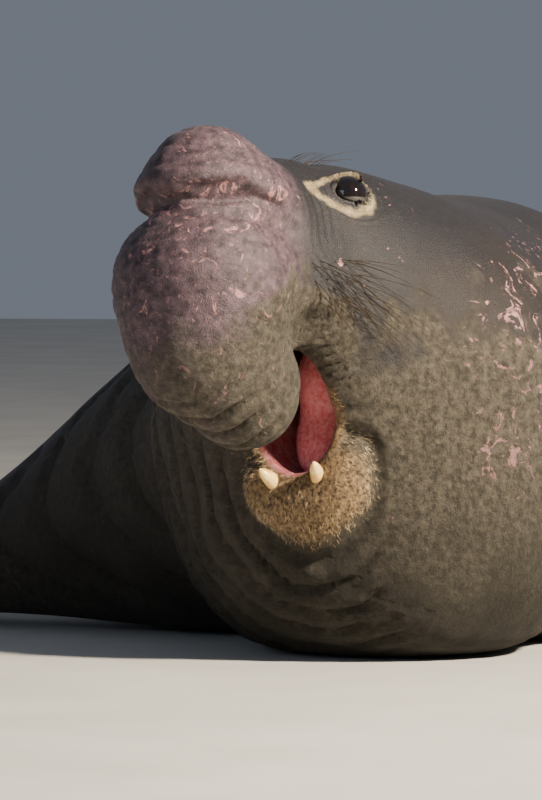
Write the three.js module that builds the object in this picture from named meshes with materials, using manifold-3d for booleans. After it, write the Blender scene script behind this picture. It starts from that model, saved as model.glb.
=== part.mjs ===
// A bull elephant seal at life size, lying on its belly with its head raised and turned to its
// right, its mouth wide open and its proboscis swollen and hanging.
// Millimetres. +X runs forward along the spine, +Y to the animal's left, +Z up, and the floor is
// z = 0. The origin is on the floor under the shoulders, on the flat of the belly.
import * as THREE from 'three'
import { mergeVertices } from 'three/addons/utils/BufferGeometryUtils.js'
import Module from 'manifold-3d'

const wasm = await Module()
wasm.setup()

// Driving dimensions of the pose
const GAP = 0.3
const HEAD_AT = [860, -52, 728]        // midpoint between the eyes
const HEAD_TURN = -18                  // degrees from straight ahead, minus is to its right
const HEAD_PITCH = 12                  // degrees, nose up
const HEAD_ROLL = 8                    // degrees, left side up
const JAW_HINGE = [-200, 0, -200]      // in the head's own frame
const GAPE = 60                        // degrees between the upper and the lower jaw

// Body sections from the shoulders to the tail
const SECTIONS = {
  x: [-100, -700, -1200, -1800, -2300, -2700, -2950, -3100, -3200],
  half_width: [610, 655, 620, 520, 390, 270, 190, 125, 30],
  top: [640, 625, 600, 535, 440, 335, 260, 200, 140],
  bottom: [-40, -40, -40, -40, -30, -10, 20, 50, 100],
  centre_y: [30, 10, 10, 30, 60, 90, 110, 120, 120],
}
const CHEST_REACH = 720                // from the first section to the front of the chest
const BACK_NARROWS = 0.16              // how much narrower each section is at the top
const BELLY_ROUND = 30                 // radius where the flank meets the floor

const NECK = { from: [0, 50, 330], to: [545, 45, 365], radius_from: 412, radius_to: 374 }
const THROAT = { at: [610, 80, 165], radii: [275, 305, 190] }   // where the neck sags to the floor

const EYE_RADIUS = 31
const EYE_AT = [0, 120, 0]             // the left one, in the head's frame
const LID_OPENING = [25, 17]           // half length and half height between the lids
const LID_THICK = 8
const LID_OUT = 20                     // from the eye's centre to the middle of the lids
const EAR_AT = [-115, 172, -20]
const NOSTRIL_AT = [318, 48, -62]
const NOSTRIL_RADII = [46, 26, 13]
const JAW_BED = 14                     // how far the lower jaw's node reaches past its form
const JAW_START = 45                   // from the hinge to the back of the lower jaw's node
const CANINE = { at: [289, 37, 12], length: 44, root: 20, radius: 11.5, splay: 14 }

const RIGHT_ARM = { shoulder: [210, -360, 220], wrist: [130, -760, 105] }
const LEFT_ARM = { shoulder: [190, 420, 220], wrist: [70, 790, 100] }
const ARM_RADII = [210, 88]
const TAIL = { at: [-3190, 115, 100], length: 105, half_width: 34, half_height: 30, cut: 30 }
const FORE_DIGITS = [1.0, 0.97, 0.88, 0.78, 0.68]
const HIND_DIGITS = [1.0, 0.84, 0.76, 0.84, 1.0]

// Where the body is parted: across the spine, and across the head
const CUT_NECK = 370
const CUT_SHOULDERS = -500
const CUT_MIDDLE = -1500
const CUT_HIPS = -2560
const CUT_ARM = { turn: 20, past: 120 }  // degrees from straight out, and how far inside the wrist
const CUT_HIND = 60                    // from each hind flipper's root
const CUT_TRUNK = 40
const CUT_HEAD = { normal: [0.96, 0, 0.28], offset: -250 }

const FINISH = {
  skin: new THREE.MeshStandardMaterial({ color: '#4b4745', roughness: 0.6 }),
  tongue: new THREE.MeshStandardMaterial({ color: '#c9505c', roughness: 0.35 }),
  eye_left: new THREE.MeshStandardMaterial({ color: '#0c0a0b', roughness: 0.05 }),
  eye_right: new THREE.MeshStandardMaterial({ color: '#0c0a0b', roughness: 0.05 }),
  lower_canine_left: new THREE.MeshStandardMaterial({ color: '#e3b458', roughness: 0.3 }),
  lower_canine_right: new THREE.MeshStandardMaterial({ color: '#e3b458', roughness: 0.3 }),
}

const rad = THREE.MathUtils.degToRad

// Frames: a point and three axes
function makeFrame(at, turn, pitch, roll) {
  const [ct, st] = [Math.cos(rad(turn)), Math.sin(rad(turn))]
  const [cp, sp] = [Math.cos(rad(pitch)), Math.sin(rad(pitch))]
  const [cr, sr] = [Math.cos(rad(roll)), Math.sin(rad(roll))]
  const forward = [cp * ct, cp * st, sp]
  const left = [-st, ct, 0]
  const up = [-sp * ct, -sp * st, cp]
  const side = left.map((v, i) => cr * v + sr * up[i])
  const top = up.map((v, i) => cr * v - sr * left[i])
  return { at, axes: [forward, side, top] }
}

function toLocal(frame, p) {
  const [x, y, z] = [p[0] - frame.at[0], p[1] - frame.at[1], p[2] - frame.at[2]]
  return frame.axes.map((a) => a[0] * x + a[1] * y + a[2] * z)
}

function toWorld(frame, q) {
  const [f, l, u] = frame.axes
  return frame.at.map((v, i) => v + f[i] * q[0] + l[i] * q[1] + u[i] * q[2])
}

function direction(frame, v) {
  const [f, l, u] = frame.axes
  return [0, 1, 2].map((i) => f[i] * v[0] + l[i] * v[1] + u[i] * v[2])
}

const FLOOR = makeFrame([0, 0, 0], 0, 0, 0)
const HEAD = makeFrame(HEAD_AT, HEAD_TURN, HEAD_PITCH, HEAD_ROLL)
const JAW_IN_HEAD = makeFrame(JAW_HINGE, 0, -GAPE, 0)
const JAW = {
  at: toWorld(HEAD, JAW_HINGE),
  axes: JAW_IN_HEAD.axes.map((a) => direction(HEAD, a)),
}

// Forms: signed distances, negative inside the flesh
function join(a, b, k) {
  const h = Math.max(k - Math.abs(a - b), 0) / k
  return Math.min(a, b) - h * h * k * 0.25
}

const carve = (a, b, k) => -join(-a, b, k)
const bothSides = (p) => [p[0], Math.abs(p[1]), p[2]]

function egg(p, centre, radii) {
  let near = 0
  let slope = 0
  for (let i = 0; i < 3; i++) {
    const q = (p[i] - centre[i]) / radii[i]
    near += q * q
    slope += (q / radii[i]) ** 2
  }
  near = Math.sqrt(near) + 1e-9
  return near * (near - 1) / (Math.sqrt(slope) + 1e-9)
}

function limb(p, a, b, radiusA, radiusB) {
  const along = [b[0] - a[0], b[1] - a[1], b[2] - a[2]]
  const q = [p[0] - a[0], p[1] - a[1], p[2] - a[2]]
  const dot = q[0] * along[0] + q[1] * along[1] + q[2] * along[2]
  const t = Math.min(Math.max(dot / (along[0] ** 2 + along[1] ** 2 + along[2] ** 2), 0), 1)
  const off = Math.hypot(q[0] - t * along[0], q[1] - t * along[1], q[2] - t * along[2])
  return off - (radiusA + (radiusB - radiusA) * t)
}

// A curve through section values that never overshoots them
function slopes(xs, ys) {
  const steps = xs.slice(1).map((x, i) => (ys[i + 1] - ys[i]) / (x - xs[i]))
  return ys.map((_, i) => {
    if (i === 0) return 0
    if (i === ys.length - 1) return steps[i - 1]
    const [a, b] = [steps[i - 1], steps[i]]
    return a * b <= 0 ? 0 : 2 * a * b / (a + b)
  })
}

const SLOPES = Object.fromEntries(
  Object.keys(SECTIONS).filter((key) => key !== 'x').map((key) => [key, slopes(SECTIONS.x, SECTIONS[key])]))

function sectionAt(x) {
  const xs = SECTIONS.x
  const last = xs.length - 1
  const at = Math.min(Math.max(x, xs[last]), xs[0])
  let i = 0
  while (i < last - 1 && at < xs[i + 1]) i++
  const h = xs[i + 1] - xs[i]
  const t = (at - xs[i]) / h
  const value = (key) => {
    const [y, m] = [SECTIONS[key], SLOPES[key]]
    return (1 + 2 * t) * (1 - t) ** 2 * y[i] + t * (1 - t) ** 2 * h * m[i]
      + t * t * (3 - 2 * t) * y[i + 1] + t * t * (t - 1) * h * m[i + 1]
  }
  return [value('half_width'), value('top'), value('bottom'), value('centre_y')]
}

function torso(p) {
  const [wide, top, bottom, middle] = sectionAt(p[0])
  const tall = (top - bottom) / 2
  const z = p[2] - (top + bottom) / 2
  const q = Math.max(p[0] - SECTIONS.x[0], 0)
  const narrow = 1 - BACK_NARROWS * Math.min(Math.max(z / tall, -1), 1)
  const body = egg([q, (p[1] - middle) / narrow, z], [0, 0, 0], [CHEST_REACH, wide, tall])
  return carve(body, p[0] - SECTIONS.x.at(-1), 50)
}

function neck(p) {
  return limb(p, NECK.from, NECK.to, NECK.radius_from, NECK.radius_to)
}

function arm(p, side) {
  return limb(p, side.shoulder, side.wrist, ...ARM_RADII)
}

// A paddle of digits fanned from its root, with a web between them
function paddle(q, digits, reach, spread, web) {
  const flat = [q[0], q[1], q[2] * 2.2]
  const sheet = [q[0], q[1], q[2] * 6]
  const middle = (digits.length - 1) / 2
  let form = limb(sheet, [0, 0, 0], [web.reach * reach, web.shift, 0], web.root, web.end)
  digits.forEach((length, i) => {
    const angle = rad(spread * (i - middle))
    const base = [0, (i - middle) * 0.05 * reach, 0]
    const tip = [Math.cos(angle) * length * reach, Math.sin(angle) * length * reach * 1.15, 0]
    form = join(form, limb(flat, base, tip, 42, 19), 34)
  })
  return form * 0.4
}

const FORE_WEB = { reach: 0.6, shift: 0, root: 70, end: 105 }
const HIND_WEB = { reach: 0.55, shift: 0, root: 60, end: 125 }
const FORE_REACH = 450
const HIND_REACH = 480
const FORE_SPREAD = 9                  // degrees between neighbouring digits
const HIND_SPREAD = 11
const FLIPPERS = {
  foreflipper_right: {
    frame: makeFrame([130, -760, 72], -125, -7, 0), digits: [...FORE_DIGITS].reverse(),
    reach: FORE_REACH, spread: FORE_SPREAD, web: FORE_WEB,
  },
  foreflipper_left: {
    frame: makeFrame([70, 790, 70], 136, -7, 0), digits: FORE_DIGITS,
    reach: FORE_REACH, spread: FORE_SPREAD, web: FORE_WEB,
  },
  hind_flipper_right: {
    frame: makeFrame([-3030, 20, 112], 205, -5, 25), digits: HIND_DIGITS,
    reach: HIND_REACH, spread: HIND_SPREAD, web: HIND_WEB,
  },
  hind_flipper_left: {
    frame: makeFrame([-3030, 210, 112], 155, -5, -25), digits: HIND_DIGITS,
    reach: HIND_REACH, spread: HIND_SPREAD, web: HIND_WEB,
  },
}

function flipper(p, { frame, digits, reach, spread, web }) {
  return paddle(toLocal(frame, p), digits, reach, spread, web)
}

const tail = (p) => egg(p, TAIL.at, [TAIL.length, TAIL.half_width, TAIL.half_height])

function head(h) {
  const m = bothSides(h)
  let form = egg(h, [-170, 0, -85], [250, 180, 160])
  form = join(form, limb(h, [-80, 0, -88], [100, 0, -86], 143, 120), 80)
  form = join(form, egg(m, [-110, 90, -190], [160, 100, 140]), 80)
  return join(form, egg(m, [70, 75, -165], [95, 62, 85]), 50)
}

function proboscis(h) {
  const bridge = limb(h, [40, 0, -45], [200, 0, -50], 105, 90)
  let upper = egg(h, [245, 0, -6], [84, 84, 80])
  upper = join(upper, egg(h, [225, 0, -30], [125, 115, 52]), 40)
  let lower = egg(h, [228, -14, -170], [132, 144, 128])
  lower = join(lower, egg(h, [235, -16, -268], [94, 112, 116]), 60)
  lower = join(lower, egg(h, [150, 8, -322], [92, 90, 100]), 50)
  return join(join(bridge, upper, 60), lower, 16)
}

function lowerJaw(q) {
  const m = bothSides(q)
  let form = egg(q, [130, 0, -75], [230, 112, 68])
  form = join(form, limb(m, [20, 100, 40], [262, 68, 0], 45, 41), 30)
  return join(form, egg(q, [285, 0, -22], [60, 98, 56]), 40)
}

function mouth(h, q) {
  const floor = egg(q, [125, 0, 50], [150, 66, 80])
  return join(floor, egg(h, [-40, 0, -295], [150, 78, 115]), 40)
}

function tongue(q) {
  return join(egg(q, [130, 0, -12], [125, 50, 30]), egg(q, [50, 0, 20], [90, 55, 50]), 30)
}

// The whole animal in one skin
function flesh(p) {
  const h = toLocal(HEAD, p)
  const q = toLocal(JAW, p)
  let form = join(torso(p), neck(p), 120)
  form = join(form, egg(p, THROAT.at, THROAT.radii), 110)
  form = join(form, Math.min(arm(p, RIGHT_ARM), arm(p, LEFT_ARM)), 160)
  for (const side of Object.values(FLIPPERS)) form = join(form, flipper(p, side), 45)
  form = join(form, tail(p), 50)
  form = join(form, head(h), 120)
  form = join(form, lowerJaw(q), 35)
  form = carve(form, mouth(h, q), 20)
  form = join(form, proboscis(h), 35)
  return carve(form, p[2] + 1, BELLY_ROUND)
}

// Where two corners of a grid square are in and the two across are out, the surface would pinch
// there, so the outer corner that is nearer to the surface is taken in
function openPinches(value, count, stride) {
  let found = true
  while (found) {
    found = false
    for (let at = 0; at < value.length; at++) {
      const place = [Math.floor(at / stride[0]), Math.floor(at / stride[1]) % count[1], at % count[2]]
      for (const [b, c] of [[0, 1], [1, 2], [0, 2]]) {
        if (place[b] === count[b] - 1 || place[c] === count[c] - 1) continue
        const square = [at, at + stride[b], at + stride[b] + stride[c], at + stride[c]]
        const [p0, p1, p2, p3] = square.map((n) => value[n] < 0)
        if (p0 !== p2 || p1 !== p3 || p0 === p1) continue
        const [one, other] = square.filter((n) => value[n] >= 0)
        value[value[one] < value[other] ? one : other] = -0.01
        found = true
      }
    }
  }
}

// One closed surface over a form, from a grid of cells in a frame of its own
function surface(form, frame, low, high, cell) {
  const count = [0, 1, 2].map((i) => Math.ceil((high[i] - low[i]) / cell[i]) + 1)
  const stride = [count[1] * count[2], count[2], 1]
  const value = new Float64Array(count[0] * count[1] * count[2])
  const index = (i, j, k) => i * stride[0] + j * stride[1] + k
  const place = (...ijk) => toWorld(frame, ijk.map((v, n) => low[n] + v * cell[n]))
  for (let i = 0; i < count[0]; i++) {
    for (let j = 0; j < count[1]; j++) {
      for (let k = 0; k < count[2]; k++) {
        value[index(i, j, k)] = form(place(i, j, k))
        const edge = [i, j, k].some((v, n) => v === 0 || v === count[n] - 1)
        if (edge && value[index(i, j, k)] < 0) {
          throw new Error(`form reaches the grid's edge at ${place(i, j, k).map(Math.round)}`)
        }
      }
    }
  }
  openPinches(value, count, stride)
  const corners = [0, 1, 2, 3, 4, 5, 6, 7].map((c) => [c & 1, (c >> 1) & 1, (c >> 2) & 1])
  const vertexOf = new Map()
  const points = []
  for (let i = 0; i < count[0] - 1; i++) {
    for (let j = 0; j < count[1] - 1; j++) {
      for (let k = 0; k < count[2] - 1; k++) {
        const sum = [0, 0, 0]
        let crossings = 0
        for (const a of corners) {
          for (let axis = 0; axis < 3; axis++) {
            if (a[axis]) continue
            const b = a.map((v, n) => (n === axis ? 1 : v))
            const va = value[index(i + a[0], j + a[1], k + a[2])]
            const vb = value[index(i + b[0], j + b[1], k + b[2])]
            if ((va < 0) === (vb < 0)) continue
            const t = va / (va - vb)
            for (let n = 0; n < 3; n++) sum[n] += a[n] + t * (b[n] - a[n])
            crossings++
          }
        }
        if (!crossings) continue
        vertexOf.set(index(i, j, k), points.length)
        points.push(settle(form, place(...[i, j, k].map((v, n) => v + sum[n] / crossings)), cell))
      }
    }
  }
  const faces = []
  for (let axis = 0; axis < 3; axis++) {
    const [b, c] = [stride[(axis + 1) % 3], stride[(axis + 2) % 3]]
    for (const [cellIndex] of vertexOf) {
      const [va, vb] = [value[cellIndex], value[cellIndex + stride[axis]]]
      if ((va < 0) === (vb < 0)) continue
      const ring = [cellIndex - b - c, cellIndex - c, cellIndex, cellIndex - b].map((n) => vertexOf.get(n))
      if (va >= 0) ring.reverse()
      const [p0, p1, p2, p3] = ring
      const across = distance(points[p0], points[p2]) <= distance(points[p1], points[p3])
      faces.push(...(across ? [p0, p1, p2, p0, p2, p3] : [p1, p2, p3, p1, p3, p0]))
    }
  }
  return solid(points.flat(), faces)
}

const distance = (a, b) => Math.hypot(a[0] - b[0], a[1] - b[1], a[2] - b[2])

function slopeAt(form, p) {
  const e = 0.5
  return [0, 1, 2].map((i) => {
    const [a, b] = [[...p], [...p]]
    a[i] += e
    b[i] -= e
    return (form(a) - form(b)) / (2 * e)
  })
}

// Moves a point onto the form, by at most part of a cell
function settle(form, start, cell) {
  const limit = 0.45 * Math.min(...cell)
  let p = start
  for (let n = 0; n < 3; n++) {
    const g = slopeAt(form, p)
    const step = form(p) / Math.max(g[0] ** 2 + g[1] ** 2 + g[2] ** 2, 1e-6)
    p = p.map((v, i) => v - step * g[i])
  }
  const moved = distance(p, start)
  return moved <= limit ? p : p.map((v, i) => start[i] + (v - start[i]) * limit / moved)
}

function solid(positions, triangles) {
  return new wasm.Manifold(new wasm.Mesh({
    numProp: 3, vertProperties: new Float32Array(positions), triVerts: new Uint32Array(triangles),
  }))
}

// A closed geometry placed in a frame, its own axis turned from second to third if it stands up
function fromGeometry(geometry, frame, upright = false) {
  const bare = geometry.clone()
  if (upright) bare.rotateX(Math.PI / 2)
  bare.deleteAttribute('normal')
  bare.deleteAttribute('uv')
  const merged = mergeVertices(bare, 1e-3)
  const { position } = merged.attributes
  const points = []
  for (let i = 0; i < position.count; i++) {
    points.push(...toWorld(frame, [position.getX(i), position.getY(i), position.getZ(i)]))
  }
  return solid(points, merged.index.array)
}

const largest = (body) => body.decompose().sort((a, b) => b.volume() - a.volume())[0]

const bodies = {}

// A flat cut keeps what lies past its offset along its normal, both given in a frame
function inWorld({ frame, normal, offset }) {
  const length = Math.hypot(...normal)
  const n = direction(frame, normal).map((v) => v / length)
  return { n, offset: offset / length + n[0] * frame.at[0] + n[1] * frame.at[1] + n[2] * frame.at[2] }
}

function trim(piece, cuts) {
  return cuts.map(inWorld).reduce((rest, { n, offset }) => rest.trimByPlane(n, offset + GAP / 2), piece)
}

function outside(p, { n, offset }) {
  return offset - (n[0] * p[0] + n[1] * p[1] + n[2] * p[2])
}

// A stretch of the animal between flat cuts, and inside one more form if it is given
function stretch(frame, low, high, cell, cuts, within = () => -Infinity) {
  const planes = cuts.map(inWorld)
  const margin = 0.6 * Math.max(...cell)
  const form = (p) => planes.reduce(
    (d, cut) => Math.max(d, outside(p, cut) - margin), Math.max(flesh(p), within(p) - margin))
  return trim(surface(form, frame, low, high, cell), [...cuts, ON_FLOOR])
}

const plane = (frame, normal, offset) => ({ frame, normal, offset })
const flip = ({ frame, normal, offset }) => plane(frame, normal.map((v) => -v), -offset)
const ON_FLOOR = plane(FLOOR, [0, 0, 1], -GAP / 2)
const NECK_CUT = plane(FLOOR, [1, 0, 0], CUT_NECK)
const SHOULDER_CUT = plane(FLOOR, [1, 0, 0], CUT_SHOULDERS)
const MIDDLE_CUT = plane(FLOOR, [1, 0, 0], CUT_MIDDLE)
const HIP_CUT = plane(FLOOR, [1, 0, 0], CUT_HIPS)
const HEAD_CUT = plane(HEAD, CUT_HEAD.normal, CUT_HEAD.offset)
const TRUNK_CUT = plane(HEAD, [1, 0, 0], CUT_TRUNK)
const armCut = ({ wrist }, side) => {
  const outward = [Math.sin(rad(CUT_ARM.turn)), side * Math.cos(rad(CUT_ARM.turn)), 0]
  return plane(FLOOR, outward, outward[0] * wrist[0] + outward[1] * wrist[1] - CUT_ARM.past)
}
const LEFT_ARM_CUT = armCut(LEFT_ARM, 1)
const RIGHT_ARM_CUT = armCut(RIGHT_ARM, -1)
const rootCut = (name) => plane(FLIPPERS[name].frame, [1, 0, 0], CUT_HIND)
const STUB_CUTS = [
  plane(FLOOR, [0, 1, 0], TAIL.at[1] - TAIL.cut),
  plane(FLOOR, [0, -1, 0], -TAIL.at[1] - TAIL.cut),
]
const HIND_CUTS = {
  hind_flipper_right: [rootCut('hind_flipper_right'), flip(STUB_CUTS[0])],
  hind_flipper_left: [rootCut('hind_flipper_left'), flip(STUB_CUTS[1])],
}

// The same solid with each of its corners moved out a little, to cut its bed in its neighbours
function grown(body, by) {
  const { vertProperties: points, triVerts: faces } = body.getMesh()
  const geometry = new THREE.BufferGeometry()
  geometry.setAttribute('position', new THREE.BufferAttribute(points, 3))
  geometry.setIndex(new THREE.BufferAttribute(faces, 1))
  geometry.computeVertexNormals()
  const normals = geometry.attributes.normal.array
  return solid(points.map((v, i) => v + by * normals[i]), faces)
}

const inHead = (at, pitch = 0, turn = 0) => {
  const local = makeFrame(at, turn, pitch, 0)
  return { at: toWorld(HEAD, at), axes: local.axes.map((a) => direction(HEAD, a)) }
}
const inJaw = (at, roll) => {
  const local = makeFrame(at, 0, 0, roll)
  return { at: toWorld(JAW, at), axes: local.axes.map((a) => direction(JAW, a)) }
}
const mirrored = (at, side) => [at[0], at[1] * side, at[2]]

// A blunt cone along its frame's third axis, from below its root to its tip
function tooth(frame, grow) {
  const { length, root, radius } = CANINE
  const profile = [[0, -root - grow], [radius * 0.8 + grow, -root - grow], [radius + grow, 0],
    [radius * 0.82 + grow, length * 0.5], [radius * 0.42 + grow, length * 0.9], [0, length + grow]]
  const outline = profile.map(([r, z]) => new THREE.Vector2(r, z))
  return fromGeometry(new THREE.LatheGeometry(outline, 10), frame, true)
}

// Rims that stand round an eye and leave a lens-shaped opening between them
function eyeLids(side) {
  const frame = inHead(mirrored(EYE_AT, side))
  const ring = new THREE.TorusGeometry(1, LID_THICK / LID_OPENING[0], 6, 18)
  ring.rotateX(Math.PI / 2)
  const [long, high] = LID_OPENING.map((v) => v + LID_THICK)
  ring.scale(long, LID_OPENING[0], high)
  ring.translate(0, side * LID_OUT, 0)
  return fromGeometry(ring, frame)
}

const eyeBall = (side, grow) =>
  fromGeometry(new THREE.SphereGeometry(EYE_RADIUS + grow, 16, 10), inHead(mirrored(EYE_AT, side)))
const pit = (frame, radii) => {
  const ball = new THREE.SphereGeometry(1, 10, 8)
  ball.scale(...radii)
  return fromGeometry(ball, frame)
}

bodies.torso_front = stretch(FLOOR, [-700, -800, -110], [540, 760, 850], [110, 110, 110],
  [SHOULDER_CUT, flip(NECK_CUT), flip(LEFT_ARM_CUT), flip(RIGHT_ARM_CUT)])
bodies.torso_middle = stretch(FLOOR, [-1700, -800, -110], [-350, 800, 780], [130, 110, 110],
  [MIDDLE_CUT, flip(SHOULDER_CUT)])
bodies.torso_rear = stretch(FLOOR, [-2760, -700, -110], [-1350, 740, 720], [130, 100, 100],
  [HIP_CUT, flip(MIDDLE_CUT)])
// The hips keep the tail's stub, which runs back between the roots of the hind flippers
const rootCuts = Object.values(HIND_CUTS).map(([root]) => flip(root))
const stubCuts = [...STUB_CUTS, plane(FLOOR, [-1, 0, 0], -TAIL.at[0] - TAIL.length)]
const most = (p, cuts) => Math.max(...cuts.map((cut) => outside(p, inWorld(cut))))
const hips = stretch(FLOOR, [-3440, -320, -80], [-2420, 540, 460], [72, 56, 56], [flip(HIP_CUT)],
  (p) => Math.min(most(p, rootCuts), most(p, stubCuts)))
bodies.tail = trim(hips, rootCuts).add(trim(hips, stubCuts))
for (const name of ['hind_flipper_right', 'hind_flipper_left']) {
  const { frame } = FLIPPERS[name]
  bodies[name] = stretch(frame, [0, -330, -120], [620, 330, 120], [38, 33, 14], HIND_CUTS[name])
}
for (const [name, side, cut] of [['foreflipper_right', RIGHT_ARM, RIGHT_ARM_CUT],
  ['foreflipper_left', LEFT_ARM, LEFT_ARM_CUT]]) {
  bodies[name] = stretch(FLIPPERS[name].frame, [-600, -420, -200], [560, 420, 380], [50, 46, 16], [cut],
    (p) => distance(p, side.wrist) - 1.3 * FORE_REACH)
}

const roundJaw = (p) => lowerJaw(toLocal(JAW, p)) - JAW_BED
const jawRoom = trim(
  surface(roundJaw, JAW, [-180, -200, -230], [430, 200, 160], [32, 32, 32]),
  [plane(JAW, [1, 0, 0], JAW_START)])

const headBox = [[-560, -430, -790], [130, 430, 180]]
bodies.head = stretch(HEAD, ...headBox, [37, 37, 37], [HEAD_CUT, flip(TRUNK_CUT)])
bodies.neck = stretch(FLOOR, [220, -700, -90], [1080, 740, 900], [76, 76, 76],
  [NECK_CUT, flip(HEAD_CUT)])
bodies.proboscis = stretch(HEAD, [-20, -260, -520], [460, 270, 200], [30, 30, 30], [TRUNK_CUT])
bodies.lower_jaw = stretch(JAW, [0, -190, -190], [430, 200, 140], [27, 27, 27],
  [plane(JAW, [1, 0, 0], JAW_START + 2 * GAP)], roundJaw).intersect(jawRoom)
const jawBed = grown(jawRoom, 3 * GAP)
bodies.head = bodies.head.subtract(jawBed)
bodies.neck = bodies.neck.subtract(jawBed)

bodies.tongue = surface((p) => tongue(toLocal(JAW, p)), JAW, [-80, -90, -80], [290, 90, 110], [26, 22, 18])
const tongueBed = grown(bodies.tongue, 2 * GAP)
bodies.head = bodies.head.subtract(tongueBed)
bodies.neck = bodies.neck.subtract(tongueBed)
bodies.lower_jaw = bodies.lower_jaw.subtract(tongueBed)

for (const [name, side] of [['left', 1], ['right', -1]]) {
  const seat = inJaw(mirrored(CANINE.at, side), -side * CANINE.splay)
  bodies[`lower_canine_${name}`] = tooth(seat, 0)
  bodies.lower_jaw = bodies.lower_jaw.subtract(tooth(seat, GAP))
  bodies[`eye_${name}`] = eyeBall(side, 0)
  bodies.head = bodies.head.add(eyeLids(side)).subtract(eyeBall(side, GAP))
  bodies.head = bodies.head.subtract(pit(inHead(mirrored(EAR_AT, side)), [9, 30, 6]))
  bodies.proboscis = bodies.proboscis.subtract(pit(inHead(mirrored(NOSTRIL_AT, side)), NOSTRIL_RADII))
}

const group = new THREE.Group()
for (const [name, body] of Object.entries(bodies)) {
  const piece = largest(body)
  const mesh = piece.getMesh()
  const geometry = new THREE.BufferGeometry()
  geometry.setAttribute('position', new THREE.BufferAttribute(mesh.vertProperties, 3))
  geometry.setIndex(new THREE.BufferAttribute(mesh.triVerts, 1))
  const node = new THREE.Mesh(geometry, FINISH[name] ?? FINISH.skin)
  node.name = name
  group.add(node)
}
export default group
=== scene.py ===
import bpy
import math
import numpy as np
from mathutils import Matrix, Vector

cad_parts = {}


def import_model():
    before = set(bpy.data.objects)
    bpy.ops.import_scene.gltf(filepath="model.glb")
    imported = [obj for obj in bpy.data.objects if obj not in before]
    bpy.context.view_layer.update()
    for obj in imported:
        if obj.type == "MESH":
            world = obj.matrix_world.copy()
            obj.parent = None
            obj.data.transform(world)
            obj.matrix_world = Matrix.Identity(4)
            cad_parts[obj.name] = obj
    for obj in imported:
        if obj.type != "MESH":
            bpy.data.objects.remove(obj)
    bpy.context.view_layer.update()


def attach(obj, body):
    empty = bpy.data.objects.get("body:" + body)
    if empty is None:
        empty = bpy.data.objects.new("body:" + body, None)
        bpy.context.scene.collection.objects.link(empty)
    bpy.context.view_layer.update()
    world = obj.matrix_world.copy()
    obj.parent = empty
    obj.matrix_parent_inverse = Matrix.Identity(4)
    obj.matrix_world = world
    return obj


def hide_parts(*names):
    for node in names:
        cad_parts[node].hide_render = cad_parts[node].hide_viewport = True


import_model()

# A bull elephant seal at life size. One skin over the whole animal takes the place of the nodes of
# flesh. Its form is worked out as a signed distance, then meshed, and its folds, lids, coat and
# whiskers are added. Lengths are millimetres, angles degrees, and a name that ends in _M is metres.
MM = 0.001                           # metres in a millimetre
FAR = 1000.0                         # distance given to places where a form isn't worked out

HEAD_AT = (860, -52, 728)
HEAD_TURN, HEAD_PITCH, HEAD_ROLL = -18, 12, 8
JAW_HINGE = (-200, 0, -200)          # in the head's axes
GAPE = 60                            # how far the jaw is turned down from the head
SECTIONS = {
    "x": (-100, -700, -1200, -1800, -2300, -2700, -2950, -3100, -3200),
    "half_width": (610, 655, 620, 520, 390, 270, 190, 125, 30),
    "top": (640, 625, 600, 535, 440, 335, 260, 200, 140),
    "bottom": (-40, -40, -40, -40, -30, -10, 20, 50, 100),
    "centre_y": (30, 10, 10, 30, 60, 90, 110, 120, 120),
}
CHEST_REACH = 720                    # how far the round chest stands ahead of the first section
BACK_NARROWS = 0.16                  # share of the width lost at the back and gained at the belly
BELLY_ROUND = 30                     # how softly the belly turns in to the floor
NECK = ((0, 50, 330), (545, 45, 365), 412, 374)
THROAT = ((610, 80, 165), (275, 305, 190))
RIGHT_ARM = ((210, -360, 220), (130, -760, 105))
LEFT_ARM = ((190, 420, 220), (70, 790, 100))
ARM_RADII = (210, 88)
TAIL_AT = (-3190, 115, 100)
TAIL_RADII = (105, 34, 30)

EYE_AT = (0, 120, 0)                 # the left one, in the head's axes
EYE_RADIUS = 31
LID_SHELL = 7                        # thickness of the lids over the eyeball
SOCKET_BITE = 1.5                    # how far the lids reach into the eyeball, so that no gap shows
LID_OPENING = (28, 19)               # half its length and half its height
LID_AHEAD = 2                        # its middle lies this far ahead of the eyeball's
LID_FACES = (0.62, 0.78, 0.08)       # the way it faces, in the head's axes
CANINE_AT = (289, 37, 12)            # the left one, in the jaw's axes

FORE_DIGITS = (1.0, 0.97, 0.88, 0.78, 0.68)      # lengths, as shares of the flipper's reach
HIND_DIGITS = (1.0, 0.84, 0.76, 0.84, 1.0)
DIGIT_RADII = (42, 19)               # at the base and at the tip
DIGIT_FLAT, WEB_FLAT = 2.2, 6        # how many times wider than thick
DIGIT_BASES = 0.05                   # from one digit's base to the next, as a share of the reach
DIGIT_FAN = 1.15                     # widens the fan of the digits
PADDLE_STEP = 0.4                    # keeps a flattened form's distances from being too long


# Frames: a point and three axes, forward, left and up
def make_frame(at, turn, pitch, roll):
    ct, st = math.cos(math.radians(turn)), math.sin(math.radians(turn))
    cp, sp = math.cos(math.radians(pitch)), math.sin(math.radians(pitch))
    cr, sr = math.cos(math.radians(roll)), math.sin(math.radians(roll))
    forward = np.array([cp * ct, cp * st, sp])
    left = np.array([-st, ct, 0.0])
    up = np.array([-sp * ct, -sp * st, cp])
    return np.array(at, float), np.array([forward, cr * left + sr * up, cr * up - sr * left])


def local(place, p):
    at, axes = place
    return ((p - at) @ axes.T).astype(np.float32)


def world(place, q):
    at, axes = place
    return at + np.asarray(q) @ axes


HEAD = make_frame(HEAD_AT, HEAD_TURN, HEAD_PITCH, HEAD_ROLL)
JAW_DROP = make_frame((0, 0, 0), 0, -GAPE, 0)[1]
JAW = (world(HEAD, JAW_HINGE), JAW_DROP @ HEAD[1])


def head_and_jaw(p):
    return local(HEAD, p), local(JAW, p)


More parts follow.
